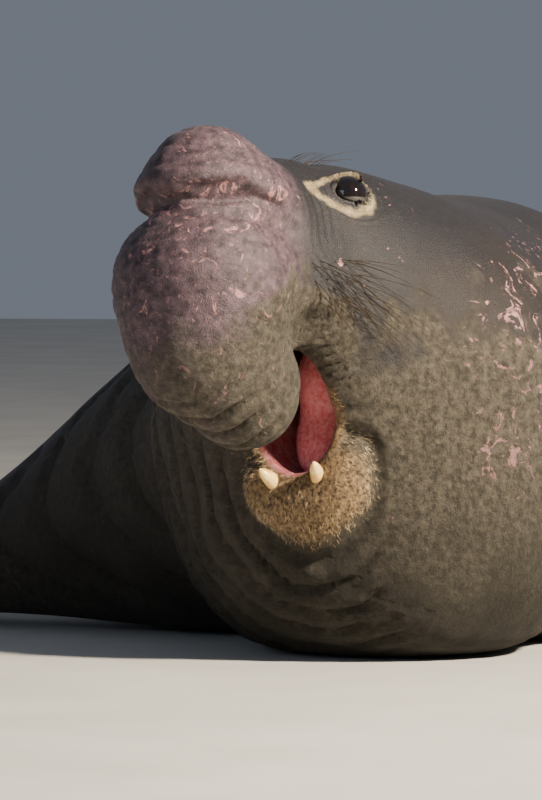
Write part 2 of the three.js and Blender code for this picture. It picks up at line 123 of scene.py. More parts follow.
# Forms: how far each point is outside a surface, and less than 0 inside it
def join(a, b, k):
    """Both forms as one, with a soft joint about as wide as k."""
    h = np.maximum(k - np.abs(a - b), 0) / k
    return np.minimum(a, b) - h * h * k * 0.25


def carve(a, b, k):
    """The first form with the second one cut out of it, and a soft edge."""
    return -join(-a, b, k)


def both_sides(p):
    """Folds the right side on to the left one, so that one form serves both."""
    m = p.copy()
    m[:, 1] = np.abs(m[:, 1])
    return m


def egg(p, centre, radii):
    radii = np.asarray(radii, np.float32)
    if radii.ndim == 1:
        radii = radii[None, :]
    q = (p - np.asarray(centre, np.float32)) / radii
    share = np.sqrt((q * q).sum(1)) + 1e-9
    return share * (share - 1) / (np.sqrt(((q / radii) ** 2).sum(1)) + 1e-9)


def limb(p, a, b, radius_a, radius_b):
    """A round bar from a to b whose radius changes evenly."""
    a = np.asarray(a, np.float32)
    along = np.asarray(b, np.float32) - a
    q = p - a
    t = np.clip(q @ along / (along @ along), 0, 1)
    off = q - t[:, None] * along
    return np.sqrt((off * off).sum(1)) - (radius_a + (radius_b - radius_a) * t)


def near(p, centre, reach, form):
    """A form worked out only round a place, and taken as far off elsewhere."""
    out = np.full(len(p), FAR, np.float32)
    close = ((p - np.asarray(centre)) ** 2).sum(1) < reach ** 2
    if close.any():
        out[close] = form(p[close])
    return out


def smooth_curve(name, x):
    xs = np.array(SECTIONS["x"][::-1], float)
    ys = np.array(SECTIONS[name][::-1], float)
    steps = np.diff(ys) / np.diff(xs)
    slope = np.zeros_like(ys)
    slope[0] = steps[0]
    for i in range(1, len(ys) - 1):
        a, b = steps[i - 1], steps[i]
        slope[i] = 0 if a * b <= 0 else 2 * a * b / (a + b)
    x = np.clip(x, xs[0], xs[-1])
    i = np.clip(np.searchsorted(xs, x) - 1, 0, len(xs) - 2)
    h = xs[i + 1] - xs[i]
    t = (x - xs[i]) / h
    return ((1 + 2 * t) * (1 - t) ** 2 * ys[i] + t * (1 - t) ** 2 * h * slope[i]
            + t * t * (3 - 2 * t) * ys[i + 1] + t * t * (t - 1) * h * slope[i + 1])


def torso(p):
    measures = ("half_width", "top", "bottom", "centre_y")
    wide, top, bottom, middle = (smooth_curve(name, p[:, 0]) for name in measures)
    tall = (top - bottom) / 2
    z = p[:, 2] - (top + bottom) / 2
    q = np.maximum(p[:, 0] - SECTIONS["x"][0], 0)
    narrow = 1 - BACK_NARROWS * np.clip(z / tall, -1, 1)
    at = np.stack([q, (p[:, 1] - middle) / narrow, z], 1)
    radii = np.stack([np.full_like(wide, CHEST_REACH), wide, tall], 1)
    return carve(egg(at, (0, 0, 0), radii), p[:, 0] - SECTIONS["x"][-1], 50)


def paddle(q, digits, reach, spread, web):
    """A flipper: a web that widens outwards, and a fan of digits joined to it."""
    flat = q * np.array([1, 1, DIGIT_FLAT], np.float32)
    sheet = q * np.array([1, 1, WEB_FLAT], np.float32)
    middle = (len(digits) - 1) / 2
    form = limb(sheet, (0, 0, 0), (web[0] * reach, 0, 0), web[1], web[2])
    for i, length in enumerate(digits):
        angle = math.radians(spread * (i - middle))
        base = (0, (i - middle) * DIGIT_BASES * reach, 0)
        tip = (math.cos(angle) * length * reach, math.sin(angle) * length * reach * DIGIT_FAN, 0)
        form = join(form, limb(flat, base, tip, *DIGIT_RADII), 34)
    return form * PADDLE_STEP


FORE_REACH, FORE_SPREAD = 450, 9     # length, and the angle from one digit to the next
HIND_REACH, HIND_SPREAD = 480, 11
FORE_WEB = (0.6, 70, 105)            # share of the reach, then radius at the wrist and at the end
HIND_WEB = (0.55, 60, 125)
FLIPPERS = [
    (make_frame((130, -760, 72), -125, -7, 0), FORE_DIGITS[::-1], FORE_REACH, FORE_SPREAD, FORE_WEB),
    (make_frame((70, 790, 70), 136, -7, 0), FORE_DIGITS, FORE_REACH, FORE_SPREAD, FORE_WEB),
    (make_frame((-3030, 20, 112), 205, -5, 25), HIND_DIGITS, HIND_REACH, HIND_SPREAD, HIND_WEB),
    (make_frame((-3030, 210, 112), 155, -5, -25), HIND_DIGITS, HIND_REACH, HIND_SPREAD, HIND_WEB),
]


def head(h):
    """Skull, muzzle, cheeks and the pads that hold the whiskers."""
    m = both_sides(h)
    form = egg(h, (-170, 0, -85), (250, 180, 160))
    form = join(form, limb(h, (-80, 0, -88), (100, 0, -86), 143, 120), 80)
    form = join(form, egg(m, (-110, 90, -190), (160, 100, 140)), 80)
    return join(form, egg(m, (70, 75, -165), (95, 62, 85)), 50)


def proboscis(h):
    bridge = limb(h, (40, 0, -45), (200, 0, -50), 105, 90)
    upper = egg(h, (245, 0, -6), (84, 84, 80))
    upper = join(upper, egg(h, (225, 0, -30), (125, 115, 52)), 40)
    lower = egg(h, (228, -14, -170), (132, 144, 128))
    lower = join(lower, egg(h, (235, -16, -268), (94, 112, 116)), 60)
    lower = join(lower, egg(h, (150, 8, -322), (92, 90, 100)), 50)
    form = join(join(bridge, upper, 60), lower, 16)
    nostril = limb(both_sides(h), (350, 16, -56), (296, 96, -52), 13, 20)
    return carve(form, nostril, 16)


def lower_jaw(q):
    m = both_sides(q)
    form = egg(q, (130, 0, -75), (230, 112, 68))
    form = join(form, limb(m, (20, 100, 40), (262, 68, 0), 45, 41), 30)
    return join(form, egg(q, (285, 0, -22), (60, 98, 56)), 40)


def mouth(h, q):
    """The hollow of the mouth: the trough of the lower jaw, and the gullet behind it."""
    trough = egg(q, (125, 0, 50), (150, 60, 80))
    return join(trough, egg(h, (-40, 0, -295), (150, 71, 115)), 40)


def eye_axes(h):
    """Places from the middle of the nearer eye: ahead along the lids, up, and out of the opening."""
    out = np.array(LID_FACES) / np.linalg.norm(LID_FACES)
    ahead = np.cross(out, (0, 0, 1))
    ahead /= np.linalg.norm(ahead)
    m = both_sides(h) - np.array(EYE_AT, np.float32)
    return m @ ahead, m @ np.cross(ahead, out), m @ out


def lid_opening(h):
    ahead, up, out = eye_axes(h)
    long, high = LID_OPENING
    slot = np.hypot((ahead - LID_AHEAD) * high / long, up + 0.12 * ahead) - high
    return np.maximum(slot, 4 - out)


def eye_socket(h):
    return egg(both_sides(h), EYE_AT, (EYE_RADIUS - SOCKET_BITE,) * 3)


def flesh(p):
    """The whole animal as one form, cut flat where it lies on the floor."""
    p = np.asarray(p, np.float32)
    form = join(torso(p), limb(p, *NECK), 120)
    form = join(form, egg(p, *THROAT), 110)
    arms = np.minimum(limb(p, *RIGHT_ARM, *ARM_RADII), limb(p, *LEFT_ARM, *ARM_RADII))
    form = join(form, arms, 160)
    for place, digits, reach, spread, web in FLIPPERS:
        flipper = near(p, place[0], 900, lambda s: paddle(local(place, s), digits, reach, spread, web))
        form = join(form, flipper, 45)
    tail = near(p, TAIL_AT, 500, lambda s: egg(s, TAIL_AT, TAIL_RADII))
    form = join(form, tail, 50)
    close = ((p - HEAD[0]) ** 2).sum(1) < 1100 ** 2
    if close.any():
        h, q = head_and_jaw(p[close])
        part = join(form[close], head(h), 120)
        part = join(part, lower_jaw(q), 35)
        part = carve(part, mouth(h, q), 20)
        part = join(part, proboscis(h), 35)
        part = join(part, egg(both_sides(h), EYE_AT, (EYE_RADIUS + LID_SHELL,) * 3), 18)
        part = carve(part, lid_opening(h), 6)
        form[close] = carve(part, eye_socket(h), 2)
    return carve(form, p[:, 2] - 1, BELLY_ROUND)


def slope_of(form, p, e=0.7):
    steps = np.eye(3, dtype=np.float32) * e
    return np.stack([(form(p + s) - form(p - s)) / (2 * e) for s in steps], 1)


def settle(form, p, limit, rounds=2):
    """Moves points on to the form's surface, none of them further than the limit."""
    start = p
    for _ in range(rounds):
        g = slope_of(form, p)
        p = p - g * (form(p) / np.maximum((g * g).sum(1), 1e-4))[:, None]
    move = p - start
    far = np.linalg.norm(move, axis=1)
    return start + move * np.minimum(1, limit / np.maximum(far, 1e-9))[:, None]


# Meshing: a grid of cells gives one closed surface, which is then split finer towards the head
def surface(form, low, high, cell):
    low, high, cell = (np.array(v, float) for v in (low, high, cell))
    count = np.ceil((high - low) / cell).astype(int) + 1
    axes = [low[i] + cell[i] * np.arange(count[i]) for i in range(3)]
    value = np.empty(count, np.float32)
    for i, x in enumerate(axes[0]):
        yy, zz = np.meshgrid(axes[1], axes[2], indexing="ij")
        value[i] = form(np.stack([np.full(yy.size, x), yy.ravel(), zz.ravel()], 1)).reshape(yy.shape)
    open_pinches(value)
    corner = value[:-1, :-1, :-1]
    inside = value < 0
    total = np.zeros(corner.shape + (3,))
    hits = np.zeros(corner.shape)
    size = np.array(corner.shape)
    for axis in range(3):
        for a in (0, 1):
            for b in (0, 1):
                off = np.zeros(3, int)
                off[(axis + 1) % 3], off[(axis + 2) % 3] = a, b
                end = off.copy()
                end[axis] += 1
                lo = tuple(slice(off[i], off[i] + size[i]) for i in range(3))
                hi = tuple(slice(end[i], end[i] + size[i]) for i in range(3))
                cut = inside[lo] != inside[hi]
                t = np.where(cut, value[lo] / np.where(cut, value[lo] - value[hi], 1), 0)
                for i in range(3):
                    total[..., i] += cut * (off[i] + (t if i == axis else 0))
                hits += cut
    used = hits > 0
    ids = np.full(corner.shape, -1)
    ids[used] = np.arange(used.sum())
    where = np.argwhere(used)
    points = low + cell * (where + total[used] / hits[used][:, None])
    faces = []
    for axis in range(3):
        b, c = (axis + 1) % 3, (axis + 2) % 3
        lo = [slice(None)] * 3
        hi = [slice(None)] * 3
        lo[axis], hi[axis] = slice(0, -1), slice(1, None)
        cut = inside[tuple(lo)] != inside[tuple(hi)]
        at = np.argwhere(cut)
        at = at[(at[:, b] > 0) & (at[:, c] > 0) & (at[:, b] < count[b] - 1) & (at[:, c] < count[c] - 1)]
        eb, ec = np.eye(3, dtype=int)[b], np.eye(3, dtype=int)[c]
        ring = [ids[tuple(v.T)] for v in (at - eb - ec, at - ec, at, at - eb)]
        outward = inside[tuple(at.T)]
        ring = np.stack(ring, 1)
        ring[~outward] = ring[~outward][:, ::-1]
        faces.append(ring)
    quads = np.concatenate(faces)
    d02 = np.linalg.norm(points[quads[:, 0]] - points[quads[:, 2]], axis=1)
    d13 = np.linalg.norm(points[quads[:, 1]] - points[quads[:, 3]], axis=1)
    short = (d02 <= d13)[:, None]
    first = np.where(short, quads[:, [0, 1, 2]], quads[:, [1, 2, 3]])
    second = np.where(short, quads[:, [0, 2, 3]], quads[:, [1, 3, 0]])
    return points, np.concatenate([first, second])


def open_pinches(value):
    """Takes in an outer corner where two inner corners of a grid square only touch across it."""
    for _ in range(30):
        found = 0
        for b, c in ((0, 1), (1, 2), (0, 2)):
            def part(db, dc):
                cut = [slice(None)] * 3
                cut[b] = slice(db, value.shape[b] - 1 + db)
                cut[c] = slice(dc, value.shape[c] - 1 + dc)
                return tuple(cut)
            v = [value[part(0, 0)], value[part(1, 0)], value[part(1, 1)], value[part(0, 1)]]
            s = [x < 0 for x in v]
            bad = (s[0] == s[2]) & (s[1] == s[3]) & (s[0] != s[1])
            found += int(bad.sum())
            for i, j in ((0, 2), (1, 3)):
                both_out = bad & ~s[i] & ~s[j]
                take_i = both_out & (v[i] <= v[j])
                v[i][take_i] = -0.01
                v[j][both_out & ~take_i] = -0.01
        if not found:
            return


def split_long(points, tris, target):
    """Splits every edge that is longer than its place asks for, and keeps the mesh closed."""
    edges = np.sort(np.concatenate([tris[:, [0, 1]], tris[:, [1, 2]], tris[:, [2, 0]]]), axis=1)
    unique, back = np.unique(edges, axis=0, return_inverse=True)
    back = back.reshape(-1)
    ends = points[unique]
    length = np.linalg.norm(ends[:, 0] - ends[:, 1], axis=1)
    middle = ends.mean(axis=1)
    long = length > target(middle)
    if not long.any():
        return points, tris, 0
    new_id = np.full(len(unique), -1)
    new_id[long] = len(points) + np.arange(long.sum())
    points = np.concatenate([points, middle[long]])
    n = len(tris)
    m = np.stack([new_id[back[:n]], new_id[back[n:2 * n]], new_id[back[2 * n:]]], 1)
    out = []
    code = (m >= 0) @ np.array([1, 2, 4])
    for k in range(8):
        t, e = tris[code == k], m[code == k]
        if not len(t):
            continue
        if k == 0:
            out.append(t)
            continue
        if k == 7:
            out += [np.stack(v, 1) for v in (
                (t[:, 0], e[:, 0], e[:, 2]), (t[:, 1], e[:, 1], e[:, 0]), (t[:, 2], e[:, 2], e[:, 1]),
                (e[:, 0], e[:, 1], e[:, 2]))]
            continue
        turn = {1: 0, 2: 1, 4: 2, 3: 0, 6: 1, 5: 2}[k]
        t, e = np.roll(t, -turn, 1), np.roll(e, -turn, 1)
        if k in (1, 2, 4):
            out += [np.stack((t[:, 0], e[:, 0], t[:, 2]), 1), np.stack((e[:, 0], t[:, 1], t[:, 2]), 1)]
        else:
            out += [np.stack(v, 1) for v in (
                (e[:, 0], t[:, 1], e[:, 1]), (t[:, 0], e[:, 0], e[:, 1]), (t[:, 0], e[:, 1], t[:, 2]))]
    return points, np.concatenate(out), int(long.sum())


# Noise on a lattice of hashed points
def noise(p, size, seed):
    q = np.asarray(p, np.float64) / size
    base = np.floor(q).astype(np.int64)
    f = q - base
    f = f * f * (3 - 2 * f)
    out = np.zeros(len(q))
    for corner in range(8):
        off = np.array([corner & 1, (corner >> 1) & 1, (corner >> 2) & 1])
        c = base + off
        n = (c[:, 0] * 73856093) ^ (c[:, 1] * 19349663) ^ (c[:, 2] * 83492791) ^ (seed * 2654435761)
        n = (n ^ (n >> 13)) * 1274126177
        r = ((n ^ (n >> 16)) & 0xFFFF) / 32767.5 - 1
        out += r * np.prod(np.where(off == 1, f, 1 - f), axis=1)
    return out


def ramp(x, low, high):
    t = np.clip((x - low) / (high - low), 0, 1)
    return t * t * (3 - 2 * t)


def folds(x, spacing, sharp=3.0):
    """Creases at an even spacing with round flesh between them, 0 on the flesh and -1 in a crease."""
    return -np.exp(sharp * (np.cos(2 * math.pi * x / spacing) - 1))


# Places on the left of the head, in its axes: the middle, and how far the place reaches from it
WHISKER_PAD = ((95, 130, -175), (65, 60, 75))
CHEEK_HOLLOW = ((112, 122, -242), (34, 50, 46))
MOUTH_CORNER = ((35, 120, -255), (60, 60, 60))
MUDDY_LOBE = ((150, 75, -300), (150, 115, 150))
CHEEK_SCAR_AT = (71, 142, -126)


def share_out(p, place):
    """How far a point is from the middle of a place, where 1 is the place's edge."""
    middle, reach = place
    return np.linalg.norm((p - np.array(middle)) / np.array(reach), axis=1)


def fine_relief(p):
    """How far the skin stands out from its form or sinks in, for folds, wrinkles and dried mud."""
    h, q = head_and_jaw(p)
    m = both_sides(h)
    sag = noise(p, 90, 3)
    jaw = lower_jaw(q)
    gape = mouth(h, q)
    out = 2.5 * noise(p, 240, 1) + 1.0 * noise(p, 55, 2)

    # A groove along the lower lip, the throat's folds below it, and those of the neck's right side
    outside = ramp(gape, 10, 30) * ramp(q[:, 0], 40, 130)
    out -= 15 * outside * np.exp(-((jaw - 11) / 7) ** 2)
    below = ramp(-h[:, 2], 270, 400) * ramp(jaw, 16, 30)
    below = below * (1 - ramp(jaw, 230, 360)) * ramp(h[:, 0], -380, -220)
    below = below * (1 - ramp(h[:, 1], 20, 150))
    out += 15 * below * folds(jaw - 6 + 10 * sag + 6 * noise(p, 40, 4), 36)
    neck_side = ramp(-p[:, 1], 60, 260) * ramp(p[:, 0], 120, 300) * ramp(p[:, 2], 20, 120)
    neck_side = neck_side * (1 - ramp(p[:, 0], 700, 800))
    out += 15 * neck_side * folds(p[:, 0] + 0.35 * p[:, 2] + 16 * sag, 82, 4)

    # Wrinkles round the eye, over the bridge of the nose and on the pad that holds the whiskers
    ahead, up, away = eye_axes(h)
    eye = np.sqrt(ahead ** 2 * 0.55 + up ** 2 + np.minimum(away, 0) ** 2)
    out += 1.6 * ramp(eye, 24, 30) * (1 - ramp(eye, 46, 70)) * folds(eye + 2.5 * noise(p, 25, 5), 9.5)
    bridge = ramp(h[:, 0], 45, 80) * (1 - ramp(h[:, 0], 150, 190)) * ramp(h[:, 2], -150, -60)
    out += 2.2 * bridge * folds(h[:, 0] + 6 * noise(p, 45, 6), 17)
    pad = 1 - ramp(share_out(m, WHISKER_PAD), 0.7, 1.4)
    out += 2.6 * pad * folds(h[:, 0] - 0.5 * h[:, 2] + 6 * noise(p, 30, 7), 15)

    # The hollow above the corner of the mouth, and the folds at the corner
    out -= 24 * (1 - ramp(share_out(m, CHEEK_HOLLOW), 0.2, 1.25))
    corner = 1 - ramp(share_out(m, MOUTH_CORNER), 0.6, 1.5)
    out += 4.5 * corner * folds(h[:, 2] + 0.8 * h[:, 0] + 6 * noise(p, 30, 8), 21)

    # The crease across the proboscis, its unevenness, and the rings round its lower lobe
    trunk = ramp(h[:, 0], 110, 170)
    out -= 11 * ramp(h[:, 0], 170, 260) * np.exp(-((h[:, 2] + 60 + 5 * noise(p, 40, 14)) / 8) ** 2)
    out += trunk * (1.4 * noise(p, 30, 9) + 0.9 * noise(p, 12, 10))
    out += 1.8 * trunk * ramp(h[:, 2], -330, -200) * folds(h[:, 2] + 9 * noise(p, 60, 13), 31, 6)

    # Clods of dried mud on the low front. Nothing stands out at the mouth's edge, the lids or the floor
    crust = ramp(-p[:, 2], -330, -60) * ramp(p[:, 0], 150, 400)
    out += crust * (3.2 * noise(p, 24, 11) + 2.6 * np.maximum(noise(p, 12, 12), 0))
    lid_edge = np.sqrt(ahead ** 2 * 0.45 + up ** 2 + away ** 2 * 0.1)
    clear = np.minimum(ramp(np.abs(gape), 2, 10), ramp(lid_edge, 18, 27))
    return out * clear * ramp(p[:, 2], 2, 25)


MASKS = ("mud", "pale_ring", "mouth_red", "mouth_depth_shade", "lip_fur", "scar", "trunk_hide", "crown_sky_reflection", "damp_and_shade")


def region_masks(p):
    """Where each colour of the hide lies, one column for each of MASKS."""
    h, q = head_and_jaw(p)
    patch = noise(p, 70, 21) * 0.6 + noise(p, 26, 22) * 0.4

    # Mud on the low neck, on the hanging lobe and along the floor
    low_neck = ramp(-p[:, 2] + 150 * patch, -600, -430) * ramp(p[:, 0], 100, 420)
    left_side = ramp(p[:, 1] * 0.8 + 90 * patch, -230, 30)
    lobe = share_out(h, MUDDY_LOBE)
    mud = np.maximum(low_neck * np.maximum(left_side, 0.35), 1 - ramp(lobe + 0.35 * patch, 0.75, 1.15))
    mud = np.maximum(mud, ramp(-p[:, 2] + 60 * patch, -170, -70) * 0.85)

    # The pale ring round the eye, longer ahead of it and narrower there
    ahead, up, away = eye_axes(h)
    high = np.where(up > 0, 37, 41) - 0.26 * np.maximum(ahead, 0)
    long = np.where(ahead > 0, 88, 50)
    ring = np.hypot((ahead - LID_AHEAD) / long, (up + 0.1 * ahead) / high)
    ring = ring + 0.08 * noise(p, 13, 23)
    pale = (1 - ramp(np.abs(ring - 0.93), 0.06, 0.27)) * ramp(away, -80, -40)
    pale = pale * ramp(both_sides(h)[:, 1], 30, 60)

    # The lining of the mouth, painted shade darkening its depths, and the furry lip from the chin to the
    # mouth's corner
    gape = mouth(h, q)
    red = 1 - ramp(gape, 3, 10)
    depth_shade = np.maximum(red * (1 - ramp(q[:, 0], 60, 190)), red * ramp(-gape, 20, 50))
    jaw = lower_jaw(q)
    lip = (1 - ramp(jaw, 0, 5)) * ramp(q[:, 0], 90, 170) * ramp(q[:, 2], -75, -40) * (1 - red)
    rim = (1 - ramp(gape, 15, 26)) * ramp(q[:, 0], 40, 100) * (1 - red) * ramp(-h[:, 2], 290, 330)
    lip = np.maximum(lip, rim)

    # Scars on the proboscis, most along its crease, on the left of the chest, and one on the cheek
    crease = 1 - ramp(np.abs(h[:, 2] + 62) + 25 * noise(p, 30, 27), 14, 50)
    trunk = ramp(h[:, 0], 120, 190)
    shield = ramp(p[:, 1], 200, 320) * ramp(p[:, 0], 0, 300) * ramp(p[:, 2], 200, 330)
    scar = np.maximum(trunk * (0.45 + 0.55 * crease), 0.9 * shield)
    cheek = np.linalg.norm(h - np.array(CHEEK_SCAR_AT), axis=1)
    scar = np.maximum(scar, 3 * (1 - ramp(cheek, 5, 10)))

    # The top is painted bluer and greyer: a painted reflection of the sky on it
    crown_sky_reflection = ramp(p[:, 2] + 60 * patch, 560, 720)
    # The low front darkens towards the floor: wet mud, and painted shade where the light from above doesn't
    # reach
    damp_and_shade = ramp(-p[:, 2] + 40 * patch, -360, -90) * ramp(p[:, 0], 100, 400)
    return np.stack([mud, pale, red, depth_shade, lip, scar, trunk, crown_sky_reflection, damp_and_shade], 1)


FACE_MIDDLE = (90, 0, -180)          # in the head's axes
FACE_EDGES = ((260, 420, 620), (9, 13, 36))      # distances from it, and the longest edge at each
LIP_EDGE = (30, 8.5)                 # how near the jaw's surface, and the longest edge there
LID_EDGES = ((62, 3.6), (46, 2.4))   # how near the eye's middle, and the longest edge there


def body_target(points):
    """The longest edge wanted at each place."""
    h, q = head_and_jaw(points)
    from_face = np.linalg.norm(h - np.array(FACE_MIDDLE), axis=1)
    eye = np.linalg.norm(both_sides(h) - np.array(EYE_AT), axis=1)
    want = np.interp(from_face, *FACE_EDGES)
    want = np.where(np.abs(lower_jaw(q)) < LIP_EDGE[0], np.minimum(want, LIP_EDGE[1]), want)
    for reach, edge in LID_EDGES:
        want = np.where(eye < reach, np.minimum(want, edge), want)
    return want


def mesh_object(name, points_mm, faces, material):
    mesh = bpy.data.meshes.new(name)
    pts = np.asarray(points_mm, np.float32) * MM
    faces = np.asarray(faces, np.int32)
    mesh.vertices.add(len(pts))
    mesh.vertices.foreach_set("co", pts.ravel())
    mesh.loops.add(faces.size)
    mesh.loops.foreach_set("vertex_index", faces.ravel())
    mesh.polygons.add(len(faces))
    mesh.polygons.foreach_set("loop_start", np.arange(0, faces.size, faces.shape[1], dtype=np.int32))
    mesh.update(calc_edges=True)
    mesh.polygons.foreach_set("use_smooth", np.ones(len(faces), bool))
    mesh.materials.append(material)
    piece = bpy.data.objects.new(name, mesh)
    bpy.context.scene.collection.objects.link(piece)
    return piece


def paint(piece, name, values):
    layer = piece.data.attributes.new(name, "FLOAT", "POINT")
    layer.data.foreach_set("value", np.asarray(values, np.float32))


# Materials
def linear(hex_colour):
    parts = [int(hex_colour[i:i + 2], 16) / 255 for i in (1, 3, 5)]
    return [*(c / 12.92 if c <= 0.04045 else ((c + 0.055) / 1.055) ** 2.4 for c in parts), 1]


def add(tree, kind, settings=None, links=None):
    """Adds a node, sets its properties and sockets, and links its inputs."""
    node = tree.nodes.new(kind)
    for key, value in (settings or {}).items():
        if isinstance(key, str) and hasattr(node, key):
            setattr(node, key, value)
        else:
            node.inputs[key].default_value = value
    for key, source in (links or {}).items():
        tree.links.new(source, node.inputs[key])
    return node


def new_material(name):
    material = bpy.data.materials.new(name)
    material.use_nodes = True
    tree = material.node_tree
    tree.nodes.clear()
    return material, tree


def pattern(tree, size_mm, low=None, high=None, detail=4, rough=0.6, distortion=0, stretch=None):
    """Noise of a real size on the object's own coordinates, or what of it lies between two levels."""
    at = add(tree, "ShaderNodeTexCoord").outputs["Object"]
    if stretch:
        at = add(tree, "ShaderNodeMapping", {"Scale": stretch}, {"Vector": at}).outputs[0]
    settings = {"Scale": 1000 / size_mm, "Detail": detail, "Roughness": rough, "Distortion": distortion}
    value = add(tree, "ShaderNodeTexNoise", settings, {"Vector": at}).outputs["Fac"]
    if low is None:
        return value
    return add(tree, "ShaderNodeMapRange", {"From Min": low, "From Max": high}, {"Value": value}).outputs[0]


def layer(tree, under, over, *factors):
    """Lays one colour over another, as much as the factors' product. A colour is hex or a socket."""
    factor = factors[0]
    for other in factors[1:]:
        factor = add(tree, "ShaderNodeMath", {"operation": "MULTIPLY"}, {0: factor, 1: other}).outputs[0]
    mix = add(tree, "ShaderNodeMix", {"data_type": "RGBA"}, {0: factor})
    for socket, value in ((6, under), (7, over)):
        if isinstance(value, str):
            mix.inputs[socket].default_value = linear(value)
        else:
            tree.links.new(value, mix.inputs[socket])
    return mix.outputs[2]


def hide_material():
    """Seal hide: short flat hair over thick skin. It gives a dull satin, dried mud that is matt and
    lumpy, wet gums and bare pink scars. The hair is drawn 5 mm coarse, because real hair is too fine
    to show."""
    material, tree = new_material("seal_hide")
    mask = {n: add(tree, "ShaderNodeAttribute", {"attribute_name": n}).outputs["Fac"] for n in MASKS}
    hair_look = {"detail": 5, "rough": 0.7, "stretch": (1, 2.2, 2.2)}
    spots = pattern(tree, 16, 0.3, 0.7)
    firm_spots = pattern(tree, 16, 0.35, 0.65)

    # Brown back, a painted bluish reflection of the sky on the top, and plum proboscis with pale flecks
    colour = layer(tree, "#2c2522", "#1f1c1e", pattern(tree, 220, 0.35, 0.65))
    colour = layer(tree, colour, "#26262b", mask["crown_sky_reflection"], spots)
    plum = layer(tree, "#3b3036", "#66525a", firm_spots)
    colour = layer(tree, colour, plum, mask["trunk_hide"])
    colour = layer(tree, colour, "#8d6a66", mask["trunk_hide"], pattern(tree, 9, 0.6, 0.72))

    # Dried mud, scars with ragged edges, and the low front darkened by wet mud and by painted shade
    mud_tone = layer(tree, "#443e35", "#70685a", pattern(tree, 12, 0.38, 0.66, detail=6))
    caked = add(tree, "ShaderNodeMapRange", {"From Min": 0.1, "From Max": 0.75}, {"Value": mask["mud"]})
    colour = layer(tree, colour, mud_tone, caked.outputs[0])
    ragged = pattern(tree, 42, detail=9, rough=0.72, distortion=1.6)
    torn = add(tree, "ShaderNodeMath", {"operation": "MULTIPLY_ADD", 1: 0.11}, {0: mask["scar"], 2: ragged})
    bare = add(tree, "ShaderNodeMapRange", {"From Min": 0.65, "From Max": 0.7}, {"Value": torn.outputs[0]})
    colour = layer(tree, colour, "#b58585", bare.outputs[0])
    colour = layer(tree, colour, "#29251b", mask["damp_and_shade"], pattern(tree, 220, 0.05, 0.55))

    # Furry lip, pale ring round the eye, gums with painted shade in the mouth's depths, and the dark and
    # light of the hair over all of it
    lip_tone = layer(tree, "#4a3728", "#b3946a", pattern(tree, 7, 0.35, 0.62))
    colour = layer(tree, colour, lip_tone, mask["lip_fur"])
    ring_tone = layer(tree, "#8f7b5c", "#c7b48c", spots)
    colour = layer(tree, colour, ring_tone, mask["pale_ring"], pattern(tree, 5, 0.2, 0.6, **hair_look))
    gum = layer(tree, "#d8616b", "#f2a4a8", firm_spots)
    # Painted shade: the gums turn dark red deep in the mouth
    gum = layer(tree, gum, "#3a0c12", mask["mouth_depth_shade"])
    colour = layer(tree, colour, gum, mask["mouth_red"])
    shade = layer(tree, "#1b1a1b", "#ffffff", pattern(tree, 5, 0.3, 0.7, **hair_look))
    colour = add(tree, "ShaderNodeMix", {"data_type": "RGBA", "blend_type": "MULTIPLY", 0: 0.35},
                 {6: colour, 7: shade}).outputs[2]

    # Satin where it is clean, matt where it is muddy, wet in the mouth
    dry = add(tree, "ShaderNodeMapRange", {"To Min": 0.4, "To Max": 0.88}, {"Value": mask["mud"]})
    roughness = add(tree, "ShaderNodeMix", {"data_type": "FLOAT", 3: 0.22},
                    {0: mask["mouth_red"], 2: dry.outputs[0]})

    # The fine relief of the hair, then the lumps of the mud
    hair = pattern(tree, 5, **hair_look)
    height = add(tree, "ShaderNodeMath", {"operation": "MULTIPLY_ADD", 1: 0.5},
                 {0: hair, 2: pattern(tree, 2.5, detail=3)})
    hair_bump = add(tree, "ShaderNodeBump", {"Strength": 0.75, "Distance": 0.0022},
                    {"Height": height.outputs[0]})
    clods = pattern(tree, 13, 0.3, 0.7, detail=9, rough=0.72)
    lumps = add(tree, "ShaderNodeMath", {"operation": "MULTIPLY"}, {0: clods, 1: mask["mud"]})
    mud_bump = add(tree, "ShaderNodeBump", {"Strength": 1.0, "Distance": 0.008},
                   {"Height": lumps.outputs[0], "Normal": hair_bump.outputs[0]})
    shader = add(tree, "ShaderNodeBsdfPrincipled",
                 {"Sheen Weight": 0.03, "Sheen Roughness": 0.5, "Specular IOR Level": 0.35, "IOR": 1.45},
                 {"Base Color": colour, "Roughness": roughness.outputs[0], "Normal": mud_bump.outputs[0]})
    add(tree, "ShaderNodeOutputMaterial", {}, {"Surface": shader.outputs[0]})
    return material


def plain_material(name, low, high, size_mm, roughness, coat=0.0, bump_mm=0.0, sheen=0.0):
    """A finish of two tones that mix in spots of a real size."""
    material, tree = new_material(name)
    colour = layer(tree, low, high, pattern(tree, size_mm, 0.32, 0.68))
    shader = add(tree, "ShaderNodeBsdfPrincipled",
                 {"Roughness": roughness, "Sheen Weight": sheen, "Coat Weight": coat,
                  "Coat Roughness": 0.05},
                 {"Base Color": colour})
    if bump_mm:
        bump = add(tree, "ShaderNodeBump", {"Strength": 0.6, "Distance": bump_mm * MM},
                   {"Height": pattern(tree, size_mm)})
        tree.links.new(bump.outputs[0], shader.inputs["Normal"])
    add(tree, "ShaderNodeOutputMaterial", {}, {"Surface": shader.outputs[0]})
    return material


HIDE = hide_material()
# A film of tears over a dark iris: nearly black, with one sharp highlight
EYE_WET = plain_material("wet_eye", "#060506", "#1a100c", 14, 0.06, coat=1.0)
# Bare flesh under saliva: bright pink, with broken wet highlights
TONGUE_WET = plain_material("wet_tongue", "#ee6a76", "#ffb0b4", 7, 0.25, coat=0.4, bump_mm=1.2)
